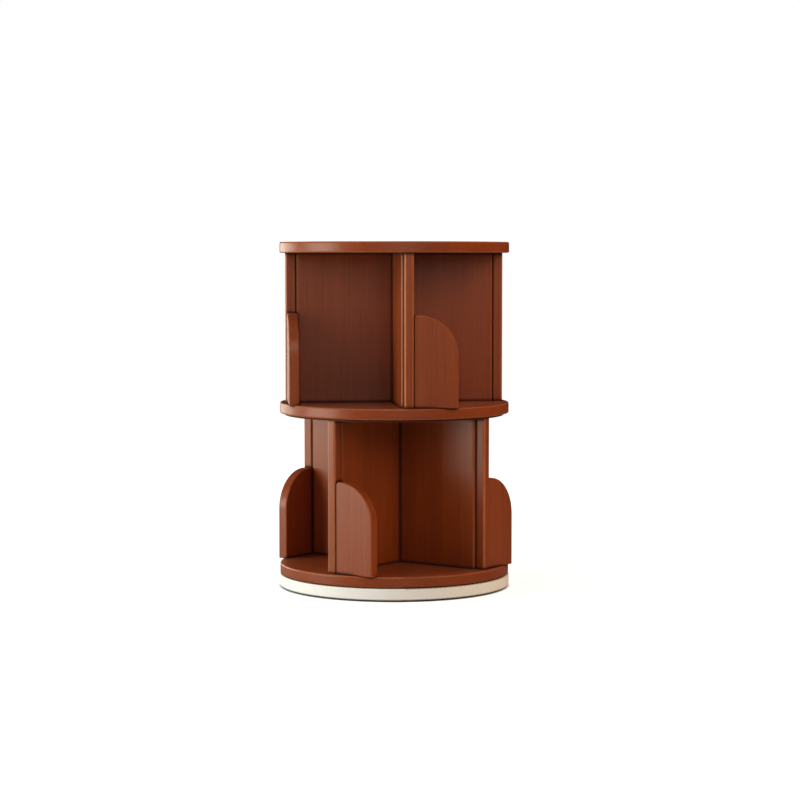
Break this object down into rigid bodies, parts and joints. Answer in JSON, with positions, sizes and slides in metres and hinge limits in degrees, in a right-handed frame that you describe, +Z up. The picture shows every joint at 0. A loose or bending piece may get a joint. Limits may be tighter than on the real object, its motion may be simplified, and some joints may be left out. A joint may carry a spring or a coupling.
{
  "type": "revolving desktop bookcase",
  "caption": "Round two-tier desk bookcase on a low plinth; each tier turns by itself on a ball turntable and holds books in quarter bays with low guards.",
  "frame": {"origin": "on the table surface, on the turning axis", "axes": "+Z up along the turning axis, -Y towards the viewer, the upper tier's partitions along X and Y at rest"},
  "size_m": [0.4519, 0.452, 0.676],
  "materials": {
    "stained_wood": "satin lacquer",
    "stained_board": "satin lacquer",
    "painted_plinth": "satin paint",
    "foot_rubber": "matt",
    "zinc_screws": "zinc plated",
    "zinc_steel": "zinc plated",
    "cage_nylon": "matt",
    "bearing_steel": "polished",
    "beech_dowel": "raw"
  },
  "bodies": {
    "base": {"base_plinth": "painted_plinth", "rubber_feet": "foot_rubber", "lower_bottom_race": "zinc_steel", "lower_bottom_race_screws": "zinc_screws"},
    "lower_ball_ring": {"lower_ball_cage": "cage_nylon", "lower_balls": "bearing_steel"},
    "lower_tier": {"lower_floor": "stained_board", "lower_tie_plate": "stained_board", "lower_partition_front": "stained_wood", "lower_partition_right": "stained_wood", "lower_partition_back": "stained_wood", "lower_partition_left": "stained_wood", "lower_post_front": "stained_wood", "lower_post_right": "stained_wood", "lower_post_back": "stained_wood", "lower_post_left": "stained_wood", "lower_guard_front": "stained_wood", "lower_guard_right": "stained_wood", "lower_guard_back": "stained_wood", "lower_guard_left": "stained_wood", "lower_dowels": "beech_dowel", "lower_floor_screws": "zinc_screws", "lower_tie_screws": "zinc_screws", "lower_top_race": "zinc_steel", "lower_top_race_screws": "zinc_screws", "upper_bottom_race": "zinc_steel", "upper_bottom_race_screws": "zinc_screws"},
    "upper_ball_ring": {"upper_ball_cage": "cage_nylon", "upper_balls": "bearing_steel"},
    "upper_tier": {"upper_floor": "stained_board", "top_panel": "stained_board", "upper_partition_front": "stained_wood", "upper_partition_right": "stained_wood", "upper_partition_back": "stained_wood", "upper_partition_left": "stained_wood", "upper_post_front": "stained_wood", "upper_post_right": "stained_wood", "upper_post_back": "stained_wood", "upper_post_left": "stained_wood", "upper_guard_front": "stained_wood", "upper_guard_right": "stained_wood", "upper_guard_back": "stained_wood", "upper_guard_left": "stained_wood", "upper_dowels": "beech_dowel", "upper_floor_screws": "zinc_screws", "upper_top_race": "zinc_steel", "upper_top_race_screws": "zinc_screws"}
  },
  "joints": [
    {"name": "lower_spin", "type": "hinge", "parent": "base", "child": "lower_tier", "pos_m": [0, 0, 0.026], "axis": [0, 0, 1], "continuous": true},
    {"name": "lower_ball_ring_spin", "type": "hinge", "parent": "base", "child": "lower_ball_ring", "pos_m": [0, 0, 0.0295], "axis": [0, 0, 1], "continuous": true},
    {"name": "upper_spin", "type": "hinge", "parent": "lower_tier", "child": "upper_tier", "pos_m": [0, 0, 0.342], "axis": [0, 0, 1], "continuous": true},
    {"name": "upper_ball_ring_spin", "type": "hinge", "parent": "lower_tier", "child": "upper_ball_ring", "pos_m": [0, 0, 0.3455], "axis": [0, 0, 1], "continuous": true}
  ],
  "couplings": [
    {"joint": "lower_ball_ring_spin", "follows": "lower_spin", "ratio": 0.5},
    {"joint": "upper_ball_ring_spin", "follows": "upper_spin", "ratio": 0.5}
  ]
}
